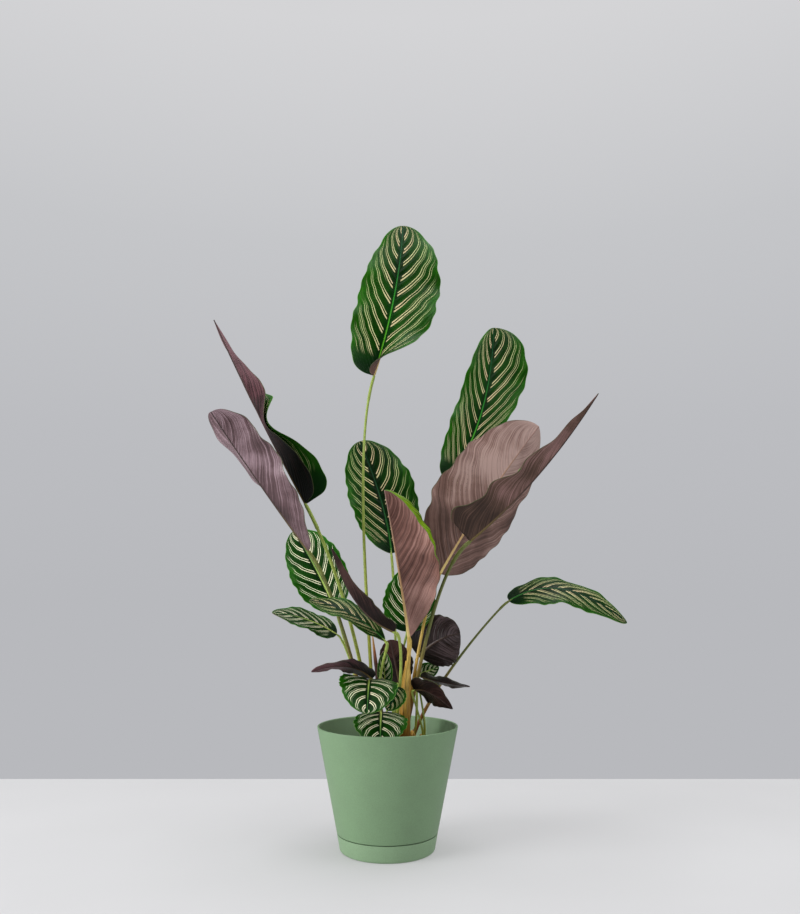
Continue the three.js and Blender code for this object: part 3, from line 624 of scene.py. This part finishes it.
def soil(material):
    """The mound of lumps on a turned body that fills the pot."""
    wide = inner_at(SOIL_EDGE) - GAP
    radii = wide * np.sin(np.linspace(0.004, 1, 110) * np.pi / 2)[::-1, None]
    turn = angles(LATHE_SIDES)
    x, y = radii * np.cos(turn), radii * np.sin(turn)
    edge = smooth(wide, wide - 3, np.hypot(x, y))
    height = lumps(x, y, np.random.default_rng(SEED)) * mix(0.3, 1, edge)
    mound = together(x, y, soil_height(x, y) - 1.2 + height)
    bottom, shelf = FOOT + FLOOR + GAP, SHELF + GAP
    walls = [(CENTRE, bottom), (inner_at(bottom) - 2, bottom), (inner_at(shelf) - 1, shelf)]
    body, _ = lathe(np.array(walls, float))
    points = np.concatenate([body, mound])
    faces = ring_faces(len(walls) + len(radii), LATHE_SIDES)
    make_piece("soil_bed", points, faces, [material], "soil", ["soil"])


def crumbs(name, count, sizes, flat, material, seed):
    """Loose crumbs: one 20-sided lump, pushed out of true, turned and laid on the mound
    `count` times by seeded draws. The lump's corners are those of three golden rectangles
    that cross at right angles, and three corners that are neighbours make a face."""
    golden = (1 + 5**0.5) / 2
    ends = np.array([(a, b) for a in (-1, 1) for b in (-golden, golden)], float)
    zero = np.zeros((4, 1))
    third = np.hstack([ends[:, 1:], zero, ends[:, :1]])
    lump = np.concatenate([np.hstack([zero, ends]), np.hstack([ends, zero]), third])
    near = np.linalg.norm(lump[:, None] - lump[None], axis=-1) < 2.01
    a, b, c = np.nonzero(near[:, :, None] & near[:, None] & near[None])
    faces = np.stack([a, b, c], -1)[(a < b) & (b < c)]
    first, second, last = (lump[faces[:, k]] for k in range(3))
    inward = np.einsum("ij,ij->i", np.cross(second - first, last - first), first) < 0
    faces[inward] = faces[inward][:, ::-1]
    draw = np.random.default_rng(seed)
    radius = draw.uniform(*sizes, count)
    distance = (inner_at(SOIL_EDGE) - 5) * np.sqrt(draw.uniform(0, 1, count))
    angle = draw.uniform(0, CIRCLE, count)
    x, y = distance * np.cos(angle), distance * np.sin(angle)
    shapes = lump[None] / 1.9 * draw.uniform(0.65, 1.25, (count, len(lump), 1))
    shapes = shapes * radius[:, None, None]
    shapes[..., 1] *= draw.uniform(0.45, 1, (count, 1))
    shapes[..., 2] *= flat
    turns, _ = np.linalg.qr(draw.normal(size=(count, 3, 3)) * (0.35, 0.35, 1))
    turns = turns * np.sign(np.linalg.det(turns))[:, None, None]
    shapes = np.einsum("nij,nkj->nki", turns, shapes)
    middle = together(x, y, soil_height(x, y) - 0.9 + 0.35 * radius * flat)
    points = shapes + middle[:, None]
    faces = (faces[None] + len(lump) * np.arange(count)[:, None, None]).reshape(-1, 3)
    make_piece(name, points, faces.tolist(), [material], "soil", [])


# -------------------- materials

# A noise or wave of n mm has the scale PER_METRE / n.
PER_METRE = 1000

# Kinds of node that are another kind by a plainer name, or with settings of its own.
KINDS = {
    "Ramp": ("ValToRGB", {}),
    "SoftRange": ("MapRange", {"interpolation_type": "SMOOTHSTEP"}),
    "Blend": ("Mix", {"data_type": "RGBA"}),
    "Tint": ("Mix", {"data_type": "RGBA", "blend_type": "MULTIPLY"}),
}


def linear(code):
    """An sRGB hex colour as a linear one: c/12.92 below 0.04045, else ((c+0.055)/1.055)^2.4."""
    parts = np.array([int(code[i:i + 2], 16) for i in (1, 3, 5)]) / 255
    parts = np.where(parts < 0.04045, parts / 12.92, ((parts + 0.055) / 1.055) ** 2.4)
    return (*parts.tolist(), 1)


def add_node(tree, kind, inputs=(), stops=(), **settings):
    """Adds a node: its own settings, its sockets as values or as the nodes or outputs that
    feed them, and a colour ramp's stops. A list fills the live sockets in their order, and
    a dict says them by name. A node feeds by its first live output. A kind in capitals is
    the operation of a Math node."""
    usual = ("Math", {"operation": kind}) if kind.isupper() else (kind, {})
    kind, shared = KINDS.get(kind, usual)
    made = tree.nodes.new("ShaderNode" + kind)
    for key, value in (shared | settings).items():
        setattr(made, key, value)
    if isinstance(inputs, dict):
        feeds = [(made.inputs[key], value) for key, value in inputs.items()]
    else:
        feeds = zip([socket for socket in made.inputs if socket.enabled], inputs)
    for socket, value in feeds:
        if isinstance(value, bpy.types.Node):
            value = next(output for output in value.outputs if output.enabled)
        if isinstance(value, bpy.types.NodeSocket):
            tree.links.new(value, socket)
        else:
            socket.default_value = value
    for number, (position, colour) in enumerate(stops):
        ramp = made.color_ramp
        stop = ramp.elements[number] if number < 2 else ramp.elements.new(position)
        stop.position = position
        stop.color = linear(colour)
    return made


def new_material(name):
    """An empty material, the call that adds a node to it, and the place on the object."""
    material = bpy.data.materials.new(name)
    material.use_nodes = True
    material.node_tree.nodes.clear()
    add = partial(add_node, material.node_tree)
    return material, add, add("TexCoord").outputs["Object"]


def surfaced(material, add, colour, roughness, relief, sockets):
    """The material, with a shader that has this colour and roughness, a relief by height,
    strength and depth in millimetres, and other sockets by name."""
    height, strength, depth = relief
    bump = add("Bump", {"Height": height, "Strength": strength, "Distance": depth * MM})
    sockets = {"Base Color": colour, "Roughness": roughness, "Normal": bump} | sockets
    add("OutputMaterial", {"Surface": add("BsdfPrincipled", sockets)})
    return material


def field(add, name):
    """The three parts of one of a mesh's own per-vertex fields."""
    read = add("Attribute", attribute_name=name)
    return add("SeparateXYZ", [read.outputs["Vector"]]).outputs


def room_for_veins(add, from_rib, from_margin):
    """1 where half a leaf is 20 mm wide or more, down to 0 at 4 mm, where the fine pattern
    would crowd into specks."""
    return add("MapRange", [add("ADD", [from_rib, from_margin]), 4, 20])


def pinstripe_leaf(name, deep, green, margin, stripe, rib, bold):
    """The upper face of a calathea leaf: waxy and dark, with cream pinstripes in pairs. A
    stripe is blunt and thick by the midrib, thins outwards and runs out before the margin.
    `bold` makes every stripe wider, as a share of a group."""
    material, add, spot = new_material(name)
    number, reach, _ = field(add, "vein")
    along, from_rib, from_margin = field(add, "place")

    # The group count wavers by a tenth of a group over 30 mm, so no stripe is ruled.
    waver = add("TexNoise", {"Vector": spot, "Scale": PER_METRE / 30, "Detail": 1})
    wavered = add("MULTIPLY_ADD", [waver, 0.14, number])
    group = add("FLOOR", [wavered])
    within = add("FRACT", [wavered])
    half_group = add("FLOOR", [add("MULTIPLY", [wavered, 2])])
    draws = []
    for count in (group, half_group):
        draw = add("TexWhiteNoise", [count], noise_dimensions="1D")
        draws.append(add("SeparateColor", [draw.outputs["Color"]]).outputs)
    group_draws, own_draws = draws

    # The pair: two lines that part a little outwards. The width swells and shrinks along
    # each line by a noise that is the same right across it.
    off = add("ABSOLUTE", [add("SUBTRACT", [within, 0.5])])
    spread = add("MapRange", [reach, 0, 1, 0.1, 0.145])
    miss = add("ABSOLUTE", [add("SUBTRACT", [off, spread])])
    swell_at = add("CombineXYZ", [half_group, reach])
    swell = add("TexNoise", {"Vector": swell_at, "Scale": 3.7, "Detail": 1})
    wide = add("MapRange", [reach, 0.08, 0.85, 0.053 + bold, 0.028 + bold * 0.6])
    grown = add("MapRange", [swell, 0.3, 0.7, 0.7, 1.2])
    drawn = add("MapRange", [own_draws["Green"], 0, 1, 0.75, 1.15])
    for share in (grown, drawn):
        wide = add("MULTIPLY", [wide, share])
    within_pair = add("SUBTRACT", [wide, miss])
    pair = add("SoftRange", [within_pair, -0.012, 0.012])
    start = add("MULTIPLY_ADD", [own_draws["Blue"], -0.045, reach])
    started = add("SoftRange", [start, 0.055, 0.08])
    finish = add("MULTIPLY_ADD", [own_draws["Red"], 0.16, reach])
    running = add("SoftRange", [finish, 0.98, 0.86])
    for share in (started, running):
        pair = add("MULTIPLY", [pair, share])

    # Beside some pairs a thinner line starts half-way out.
    miss = add("ABSOLUTE", [add("SUBTRACT", [off, 0.33])])
    late = add("MULTIPLY_ADD", [own_draws["Blue"], -0.3, reach])
    late = add("SoftRange", [late, 0.12, 0.3])
    extra = add("SoftRange", [miss, 0.034, 0.014])
    chosen = add("MapRange", [own_draws["Green"], 0.55, 0.65])
    for share in (late, chosen, running, 0.6):
        extra = add("MULTIPLY", [extra, share])
    shown = add("MAXIMUM", [pair, extra])

    inside = add("SoftRange", [from_margin, 1.2, 3.5])
    above_base = add("SoftRange", [along, 0.1, 0.15])
    allowed = add("MULTIPLY", [inside, above_base])
    shown = add("MULTIPLY", [shown, allowed])

    # The green under the stripes: deep by the midrib, darkened to brown-black by painted
    #     # shade between a pair's lines, brighter out to the margin, and blotched by a noise 30 mm
    #     # long. Between the pairs some groups are hazed with a lighter green, and the base of the
    #     leaf is dark.
    body = add("Ramp", [reach], [
        (0.1, deep), (0.22, green), (0.7, green), (0.92, margin),
    ])
    cloud = add("TexNoise", {"Vector": spot, "Scale": PER_METRE / 30, "Detail": 4})
    cloud_tone = add("Ramp", [cloud], [(0.3, "#9CA68C"), (0.7, "#FFFFF0")])
    body = add("Tint", [1, body, cloud_tone])
    # Painted shade: the green goes brown-black between the two lines of a pair, as in the hollow of
    # a pleat.
    pair_shade = add("MapRange", [add("SUBTRACT", [spread, off]), 0, 0.05, 0, 0.55])
    pair_shade = add("MULTIPLY", [pair_shade, allowed])
    body = add("Blend", [pair_shade, body, linear("#1C2A0C")])
    haze = add("SoftRange", [off, 0.42, 0.2])
    haze_out = add("MapRange", [reach, 0.3, 0.7])
    for share in (haze_out, allowed, group_draws["Green"], 0.22 + bold):
        haze = add("MULTIPLY", [haze, share])
    body = add("Blend", [haze, body, linear("#4C8C2C")])
    base_dark = add("MapRange", [along, 0.17, 0.05, 0, 0.8])
    body = add("Blend", [base_dark, body, linear("#08200C")])
    paled = add("MULTIPLY_ADD", [own_draws["Red"], 0.5, reach])
    pale = add("Ramp", [paled], [(0.2, stripe[0]), (1, stripe[1])])
    body = add("Blend", [shown, body, pale])

    # The midrib: bright in the lower half of the leaf, sunk into the dark above.
    rib_reach = add("MULTIPLY_ADD", [along, 0.9, from_rib])
    on_rib = add("SoftRange", [rib_reach, 1.6, 0.9])
    rib_tone = add("Ramp", [along], [(0.05, rib[0]), (0.45, rib[1]), (0.8, rib[2])])
    body = add("Blend", [on_rib, body, rib_tone])
    edge = add("MapRange", [from_margin, 0.8, 0.3])
    body = add("Blend", [edge, body, linear("#5C8B3C")])

    # Wax: a clear gloss over soft ridges, which are the fine veins, a tenth of a group apart.
    gloss = add("MapRange", [cloud, 0.3, 0.7, 0.28, 0.44])
    fine = add("SINE", [add("MULTIPLY", [number, CIRCLE * 10])])
    fine = add("MULTIPLY", [fine, room_for_veins(add, from_rib, from_margin)])
    gleam = {"IOR": 1.45, "Specular IOR Level": 0.09}
    return surfaced(material, add, body, gloss, (fine, 0.3, 0.1), gleam)


def leaf_underside(name, dark, middle, light, rib, rough, streaky, paling, shine):
    """The lower face: a purple-brown bloom under a satin skin. Fine fibres and broader
    streaks follow the side veins, the rib stands out, and the margin lets a line of green
    through. `streaky` is how much the broad streaks count against the soft clouds,
    `paling` how far the tone lightens from base to tip, and `shine` how strongly the skin
    reflects."""
    material, add, spot = new_material(name)
    number, reach, side = field(add, "vein")
    along, from_rib, from_margin = field(add, "place")
    bent = add("TexNoise", {"Vector": spot, "Scale": PER_METRE / 25, "Detail": 1})
    bent = add("MULTIPLY_ADD", [bent, 0.25, number])
    streak_at = add("CombineXYZ", [bent, reach, side])
    broad_at = add("Mapping", {"Vector": streak_at, "Scale": (2.6, 0.7, 5)})
    broad = add("TexNoise", {"Vector": broad_at, "Scale": 1, "Detail": 3, "Roughness": 0.6})
    fibre_at = add("Mapping", {"Vector": streak_at, "Scale": (9.5, 0.7, 5)})
    fibre = add("TexNoise", {"Vector": fibre_at, "Scale": 1, "Detail": 2})
    cloud = add("TexNoise", {"Vector": spot, "Scale": PER_METRE / 50, "Detail": 5})
    room = room_for_veins(add, from_rib, from_margin)
    streakiness = add("MULTIPLY", [room, streaky])
    blend = add("Mix", [streakiness, cloud, broad])
    thread = add("MULTIPLY", [add("SUBTRACT", [fibre, 0.5]), room])
    blend = add("MULTIPLY_ADD", [thread, 0.45, blend])
    higher = add("MapRange", [along, 0, 1, -0.45 * paling, 0.55 * paling])
    blend = add("ADD", [blend, higher])
    body = add("Ramp", [blend], [(0.34, dark), (0.5, middle), (0.66, light)])

    # Side veins: two to a group, thin and darker.
    fold = add("FRACT", [add("MULTIPLY", [number, 2])])
    vein = add("Ramp", [fold], [
        (0.42, "#000000"), (0.48, "#FFFFFF"), (0.52, "#FFFFFF"), (0.58, "#000000"),
    ])
    shade = add("MULTIPLY", [add("MULTIPLY", [room, 0.3]), vein])
    body = add("Blend", [shade, body, linear(dark)])
    rib_reach = add("ADD", [along, from_rib])
    on_rib = add("SoftRange", [rib_reach, 1.9, 1.1])
    rib_tone = add("Ramp", [along], [(0.02, rib[0]), (0.35, rib[1]), (0.9, rib[2])])
    body = add("Blend", [on_rib, body, rib_tone])
    edge = add("MapRange", [from_margin, 1.2, 0.3, 0, 0.8])
    edge = add("MULTIPLY", [edge, room])
    body = add("Blend", [edge, body, linear("#4C5230")])
    gloss = add("MapRange", [broad, 0.3, 0.7, rough - 0.08, rough + 0.1])
    fine = add("MULTIPLY_ADD", [fibre, 0.7, vein])
    fine = add("MULTIPLY", [fine, room])
    gleam = {"IOR": 1.4, "Specular IOR Level": shine, "Sheen Weight": 0.06}
    return surfaced(material, add, body, gloss, (fine, 0.35, 0.3), gleam)


def fresh_stalk():
    """Leaf stalks: smooth, juicy tissue. Each is reddish where it leaves the soil and takes
    its own tone above, which is olive at 0, yellow-green at 0.5 and golden at 1."""
    material, add, spot = new_material("stalk_tissue")
    share, knee, warmth = field(add, "tone")
    tone = add("Ramp", [warmth], [(0, "#727A3E"), (0.5, "#A8C05C"), (1, "#DEBC60")])
    low = add("Ramp", [warmth], [(0, "#A8782E"), (0.5, "#B4B83E"), (1, "#D49C3C")])
    rise = add("MapRange", [share, 0.1, 0.55])
    body = add("Blend", [rise, low, tone])
    stretched = add("Mapping", {"Vector": spot, "Scale": (1, 1, 0.12)})
    grain = add("TexNoise", {"Vector": stretched, "Scale": PER_METRE / 1.6, "Detail": 3})
    foot = add("MULTIPLY_ADD", [grain, 0.16, share])
    redness = add("MapRange", [foot, 0.3, 0.14, 0, 0.85])
    body = add("Blend", [redness, body, linear("#8A4722")])
    swollen = add("MULTIPLY", [knee, 0.15])
    body = add("Blend", [swollen, body, linear("#9AAA50")])
    shade = add("Ramp", [grain], [(0.3, "#C4BCA6"), (0.7, "#FFFFFF")])
    body = add("Tint", [0.8, body, shade])
    return surfaced(material, add, body, 0.4, (grain, 0.2, 0.2), {"IOR": 1.42})


def rolled_leaf_skin():
    """The rolled leaf: the underside's dark red-brown, orange towards its tip, with a pale
    line where the free edge lies."""
    material, add, spot = new_material("rolled_leaf_skin")
    share, wrap, _ = field(add, "tone")
    stretched = add("Mapping", {"Vector": spot, "Scale": (1, 1, 0.1)})
    grain = add("TexNoise", {"Vector": stretched, "Scale": PER_METRE / 1.5, "Detail": 3})
    height = add("MULTIPLY_ADD", [grain, 0.2, share])
    body = add("Ramp", [height], [
        (0.1, "#2E1610"), (0.8, "#4A241A"), (0.95, "#96562E"), (1, "#C48A4A"),
    ])
    seam = add("MapRange", [wrap, 0.9, 0.97, 0, 0.6])
    body = add("Blend", [seam, body, linear("#A9A05A")])
    return surfaced(material, add, body, 0.42, (grain, 0.3, 0.2), {})


def moulded_plastic(name, colour, shaded):
    """Injection-moulded polypropylene, spark-eroded matt: a fine even grain, drawn 0.9 mm
    wide so that it shows, faint flow mottling and a soft sheen with no clear reflection."""
    material, add, spot = new_material(name)
    flow_at = {"Vector": spot, "Scale": PER_METRE / 25, "Detail": 4, "Roughness": 0.6}
    flow = add("TexNoise", flow_at)
    body = add("Ramp", [flow], [(0.25, shaded), (0.75, colour)])
    grain = add("TexNoise", {"Vector": spot, "Scale": PER_METRE / 0.9, "Detail": 2})
    specks = add("Ramp", [grain], [(0.3, "#F2F2EF"), (0.6, "#FFFFFF")])
    body = add("Tint", [1, body, specks])
    rub = add("MapRange", [flow, 0, 1, 0.46, 0.6])
    gleam = {"IOR": 1.49, "Specular IOR Level": 0.3}
    return surfaced(material, add, body, rub, (grain, 0.12, 0.2), gleam)


def peat(name, dark, middle, light, grain_size):
    """Moist peat and bark: near black in the hollows, brown on the crumbs, with no gloss."""
    material, add, spot = new_material(name)
    grit = {"Vector": spot, "Scale": PER_METRE / grain_size, "Detail": 5, "Roughness": 0.7}
    grain = add("TexNoise", grit)
    body = add("Ramp", [grain], [(0.35, dark), (0.55, middle), (0.72, light)])
    return surfaced(material, add, body, 0.92, (grain, 0.8, 0.8), {})


def studio_floor():
    """A painted board: matt and pale, with a hardly visible unevenness. It glows a little
    though it is no lamp, a painted light which keeps the shadow faint."""
    material, add, spot = new_material("painted_board")
    cloud = add("TexNoise", {"Vector": spot, "Scale": 4, "Detail": 2})
    body = add("Ramp", [cloud], [(0.3, "#979799"), (0.7, "#9B9B9D")])
    # Painted light: the board glows though it is no lamp, so its shadows stay faint.
    glow = {"Emission Color": linear("#FFFFFF"), "Emission Strength": 0.28}
    return surfaced(material, add, body, 0.8, (cloud, 0, 0), glow)


CREAM, IVORY = ("#D2BE94", "#BDC68A"), ("#E4DEBA", "#E2E8C2")
GREEN_RIB = ("#5FA31F", "#2F8A28", "#12502E")
PALE_RIB = ("#B4C46A", "#9BB85A", "#3F7A38")
DARK_RIB = ("#2F6A28", "#1A4A26", "#0E3A22")
ROSE_RIB = ("#E8CC84", "#C0966C", "#8A6A60")
DULL_RIB = ("#6A5A34", "#4A3832", "#3A2C2A")

UPPER = {key: pinstripe_leaf("leaf_cuticle_" + key, *finish) for key, *finish in (
    ("fresh", "#053402", "#134600", "#1F6000", CREAM, GREEN_RIB, 0.004),
    ("grown", "#042404", "#0B3602", "#175000", CREAM, DARK_RIB, 0),
    ("bold", "#052806", "#0D3E02", "#195A00", IVORY, PALE_RIB, 0.012),
    ("rolled", "#1C4606", "#4A7008", "#7C9C14", CREAM, GREEN_RIB, -0.015),
)}
UNDER = {key: leaf_underside("leaf_bloom_" + key, *finish) for key, *finish in (
    ("dusty", "#4A332B", "#7B5C53", "#B0938A", ROSE_RIB, 0.46, 0.36, 0.2, 0.4),
    ("rosy", "#4A2C25", "#805A50", "#B48B81", ROSE_RIB, 0.42, 0.28, -0.12, 0.4),
    ("umber", "#32221A", "#584136", "#8E6C68", DULL_RIB, 0.46, 0.4, 0.15, 0.3),
    ("mauve", "#301E1E", "#5C4347", "#A48A92", DULL_RIB, 0.32, 0.3, 0.2, 0.6),
    # Painted shade: this bloom is near black at the base, standing in for the shade its leaves lie
    # in, and paler towards the tip.
    ("wine", "#050805", "#2A1819", "#68444A", DULL_RIB, 0.45, 0.5, 0.6, 0.12),
    ("plum", "#3C262A", "#5C4043", "#7C6060", ROSE_RIB, 0.46, 0.5, 0.2, 0.4),
    # Painted shade: a near-black copy of the underside, darkened to stand for the shade deep in the
    # plant.
    ("dusk", "#0A0504", "#1E100E", "#48302C", DULL_RIB, 0.34, 0.5, 0.2, 0.22),
    # Painted shade: darkened past the leaf's own tone to stand for the shade it lies in.
    ("slate", "#120A0A", "#2A1E1E", "#66565A", DULL_RIB, 0.32, 0.5, 0.2, 0.45),
)}

# -------------------- the object

for leaf in LEAVES:
    blade(leaf, UPPER[leaf["upper"]], UNDER[leaf["under"]])

stalk_tissue = fresh_stalk()
for name, shoot in SHOOTS.items():
    shoot_piece(name, shoot, stalk_tissue)
spear(rolled_leaf_skin())

pot(moulded_plastic("moulded_polypropylene_pot", "#7B9975", "#779371"))
# Painted light: the saucer is a paler green than the pot, standing in for the light its flared wall
# catches.
saucer(moulded_plastic("moulded_polypropylene_saucer_painted_light", "#88A582", "#84A07E"))
soil(peat("moist_peat", "#0E0A07", "#241912", "#41301F", 2.2))
loose_peat = peat("peat_crumb", "#140D09", "#2E2018", "#4C3826", 1.2)
pine_bark = peat("pine_bark", "#23150D", "#4A2F1C", "#7A5634", 2.5)
crumbs("peat_crumbs", 420, (0.8, 2.0), 0.8, loose_peat, SEED + 1)
crumbs("bark_chips", 90, (2.0, 3.8), 0.45, pine_bark, SEED + 2)

# -------------------- studio

# In metres, as all of the studio is.
FLOOR_BACK, FLOOR_FRONT, FLOOR_HALF = 0.346, -1.4, 1.6
LIGHT_AIM = Vector((0, 0, 0.3))

CAMERA_PLACE = (0.014, -0.95, 0.276)
CAMERA_LIFT = 9.9
FOCAL_PIXELS, PICTURE_HEIGHT = 800, 914
SENSOR = 36


def floor_board():
    """A pale board whose far edge is the line that the photograph has behind the pot."""
    mesh = bpy.data.meshes.new("studio_floor")
    x, front, back = FLOOR_HALF, FLOOR_FRONT, FLOOR_BACK
    corners = [(-x, front, 0), (x, front, 0), (x, back, 0), (-x, back, 0)]
    mesh.from_pydata(corners, [], [(0, 1, 2, 3)])
    mesh.materials.append(studio_floor())
    board = put("studio_floor", mesh)


def soft_light(name, place, size, power):
    """A square soft box, in metres and watts, that looks at the middle of the plant."""
    light = bpy.data.lights.new(name, "AREA")
    light.size = size
    light.energy = power
    box = put(name, light)
    box.location = place
    box.rotation_euler = (LIGHT_AIM - Vector(place)).to_track_quat("-Z", "Y").to_euler()


def studio_air(seen, shed):
    """A wall of even tone all round, paler high up. It is drawn as bright as `seen`, and
    lights the object by `shed`, because a real wall stands too far off to light it more."""
    world = bpy.data.worlds.new("studio_air")
    world.use_nodes = True
    world.node_tree.nodes.clear()
    add = partial(add_node, world.node_tree)
    way = add("SeparateXYZ", [add("TexCoord").outputs["Generated"]])
    tone = add("Ramp", [way.outputs["Z"]], [
        (0, "#B8B9BD"), (0.2, "#BCBDC1"), (0.42, "#C5C6C9"), (0.62, "#D4D4D6"),
    ])
    direct = add("LightPath").outputs["Is Camera Ray"]
    strength = add("MapRange", [direct, 0, 1, shed, seen])
    glow = add("Background", {"Color": tone, "Strength": strength})
    add("OutputWorld", {"Surface": glow})
    bpy.context.scene.world = world


def camera():
    """The photograph's view: level with the lower leaves and tipped up a little. The lens is
    sensor * focal length in pixels / the picture's long side."""
    lens = bpy.data.cameras.new("camera")
    lens.sensor_width = SENSOR
    lens.lens = SENSOR * FOCAL_PIXELS / PICTURE_HEIGHT
    eye = put("camera", lens)
    eye.location = CAMERA_PLACE
    eye.rotation_euler = (np.radians(90 + CAMERA_LIFT), 0, 0)
    bpy.context.scene.camera = eye


bpy.context.scene.view_settings.view_transform = "Standard"
floor_board()
studio_air(1, 0.45)
soft_light("key", (-1.75, -0.9, 0.65), 1, 35)
soft_light("fill", (1.8, -0.6, 0.9), 1.4, 10)
soft_light("top", (0.1, 0, 2.2), 2, 48)
camera()
